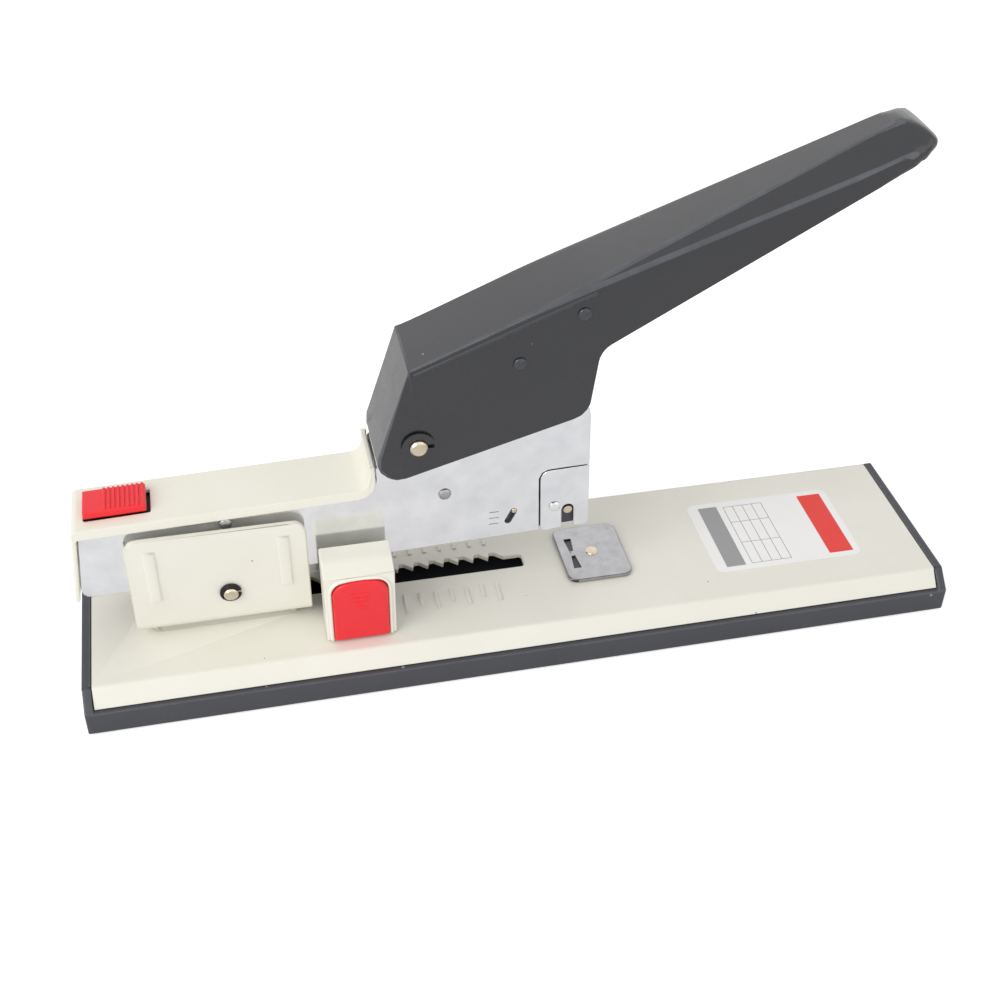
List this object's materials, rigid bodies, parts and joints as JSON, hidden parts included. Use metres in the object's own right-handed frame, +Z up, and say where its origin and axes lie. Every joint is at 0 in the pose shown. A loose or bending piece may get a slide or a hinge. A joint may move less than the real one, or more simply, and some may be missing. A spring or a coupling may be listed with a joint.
{
  "type": "heavy duty stapler",
  "caption": "Desk stapler with a long folded lever handle, pivoting steel arm, sliding magazine, anvil plate and a paper stop that slides along a toothed slot in a flat base.",
  "frame": {"origin": "middle of the base's underside, on the desk's surface under the feet", "axes": "+X along the base towards the end where the paper goes in, +Y to the far side, +Z up"},
  "size_m": [0.2754, 0.07, 0.1616],
  "materials": {
    "charcoal": "fine matt grain",
    "cream": "satin paint",
    "ivory": "soft sheen",
    "black": "satin powder paint",
    "red": "gloss",
    "nickel": "polished plate",
    "steel": "satin",
    "champagne": "zinc plated, bright",
    "dark_steel": "dark, oiled",
    "rubber": "matt"
  },
  "bodies": {
    "base": {"base_tray": "charcoal", "foot_1": "rubber", "foot_2": "rubber", "foot_3": "rubber", "foot_4": "rubber", "base_plate": "cream", "anvil_plate": "steel", "anvil_rivet": "champagne", "pivot_bracket": "cream", "bracket_rivet_rear": "steel", "bracket_rivet_front": "steel", "bracket_pin": "champagne", "bracket_clip_near": "black", "bracket_clip_far": "black", "bracket_bush_near": "steel", "bracket_bush_far": "steel", "lift_spring": "steel"},
    "arm": {"arm_frame": "nickel", "rear_cover": "ivory", "rear_rivet": "nickel", "frame_rivet": "nickel", "handle_pin": "champagne", "handle_clip_near": "black", "handle_clip_far": "black", "handle_bush_near": "steel", "handle_bush_far": "steel", "latch_spring": "steel", "return_spring": "steel"},
    "push_button": {"push_button": "red"},
    "magazine": {"magazine_channel": "steel", "head_plate": "nickel", "head_rivet_near": "nickel", "head_rivet_far": "nickel", "head_pin_near": "champagne", "head_pin_far": "champagne", "staple_rail": "steel", "guide_rod": "steel", "magazine_end_cap": "charcoal"},
    "pusher": {"pusher": "dark_steel"},
    "driver": {"driver_blade": "steel", "driver_carrier": "dark_steel"},
    "handle": {"handle_shell": "black", "drive_yoke": "steel", "drive_pin": "steel", "drive_roller": "dark_steel", "handle_rivet_rear": "black", "handle_rivet_front": "black", "spring_pad": "charcoal"},
    "paper_stop": {"stop_block": "ivory", "stop_fence": "ivory", "stop_carrier": "charcoal", "stop_shoe": "steel"},
    "stop_button": {"stop_button": "red"}
  },
  "joints": [
    {"name": "arm_pivot", "type": "hinge", "parent": "base", "child": "arm", "pos_m": [-0.0915, 0, 0.0299], "axis": [0, 1, 0], "range_deg": [0, 9.4], "stiffness_Nm_per_rad": 2, "springref_deg": -17.19, "deforming": ["lift_spring"]},
    {"name": "handle_pivot", "type": "hinge", "parent": "arm", "child": "handle", "pos_m": [-0.03331, 0, 0.076], "axis": [0, 1, 0], "range_deg": [0, 21], "stiffness_Nm_per_rad": 1, "springref_deg": -14.32, "deforming": ["return_spring"]},
    {"name": "magazine_slide", "type": "slide", "parent": "arm", "child": "magazine", "axis": [-0.9996, 0, -0.029], "range_m": [-0.06, 0]},
    {"name": "pusher_slide", "type": "slide", "parent": "magazine", "child": "pusher", "axis": [0.9996, 0, 0.029], "range_m": [-0.085, 0], "stiffness_N_per_m": 20, "springref_m": 0.1},
    {"name": "push_button_press", "type": "slide", "parent": "arm", "child": "push_button", "axis": [0.029, 0, -0.9996], "range_m": [0, 0.002], "stiffness_N_per_m": 300, "springref_m": -0.004, "deforming": ["latch_spring"]},
    {"name": "driver_slide", "type": "slide", "parent": "arm", "child": "driver", "axis": [0.029, 0, -0.9996], "range_m": [0, 0.0158]},
    {"name": "stop_slide", "type": "slide", "parent": "base", "child": "paper_stop", "axis": [1, 0, 0], "range_m": [0, 0.04]},
    {"name": "stop_button_press", "type": "slide", "parent": "paper_stop", "child": "stop_button", "axis": [0, 1, 0], "range_m": [0, 0.0016], "stiffness_N_per_m": 300, "springref_m": -0.004}
  ],
  "couplings": [
    {"joint": "driver_slide", "follows": "handle_pivot", "m_per_rad": 0.0428}
  ]
}
